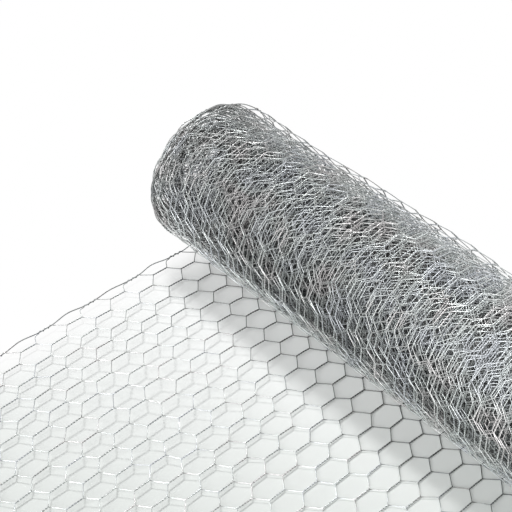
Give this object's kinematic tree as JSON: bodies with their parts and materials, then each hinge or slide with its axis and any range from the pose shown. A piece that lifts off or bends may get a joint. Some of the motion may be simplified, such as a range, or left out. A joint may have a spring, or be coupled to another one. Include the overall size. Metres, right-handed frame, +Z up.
{
  "type": "roll of chicken wire",
  "caption": "Roll of galvanised hexagonal wire netting on its side, partly unrolled: a wound cylinder with a round hollow core and a loose end laid out over the floor.",
  "frame": {"origin": "on the floor, at the bottom centre of the whole object's box", "axes": "+X along the roll's axis, +Y from the loose end towards the roll, +Z up"},
  "size_m": [0.5018, 0.507, 0.1556],
  "materials": {
    "galvanised_wire": "hot-dipped zinc, satin, lightly dulled"
  },
  "bodies": {
    "root": {"netting_roll": "galvanised_wire", "unrolled_netting_near_roll": "galvanised_wire", "unrolled_netting_middle": "galvanised_wire", "unrolled_netting_free_end": "galvanised_wire"}
  },
  "joints": []
}
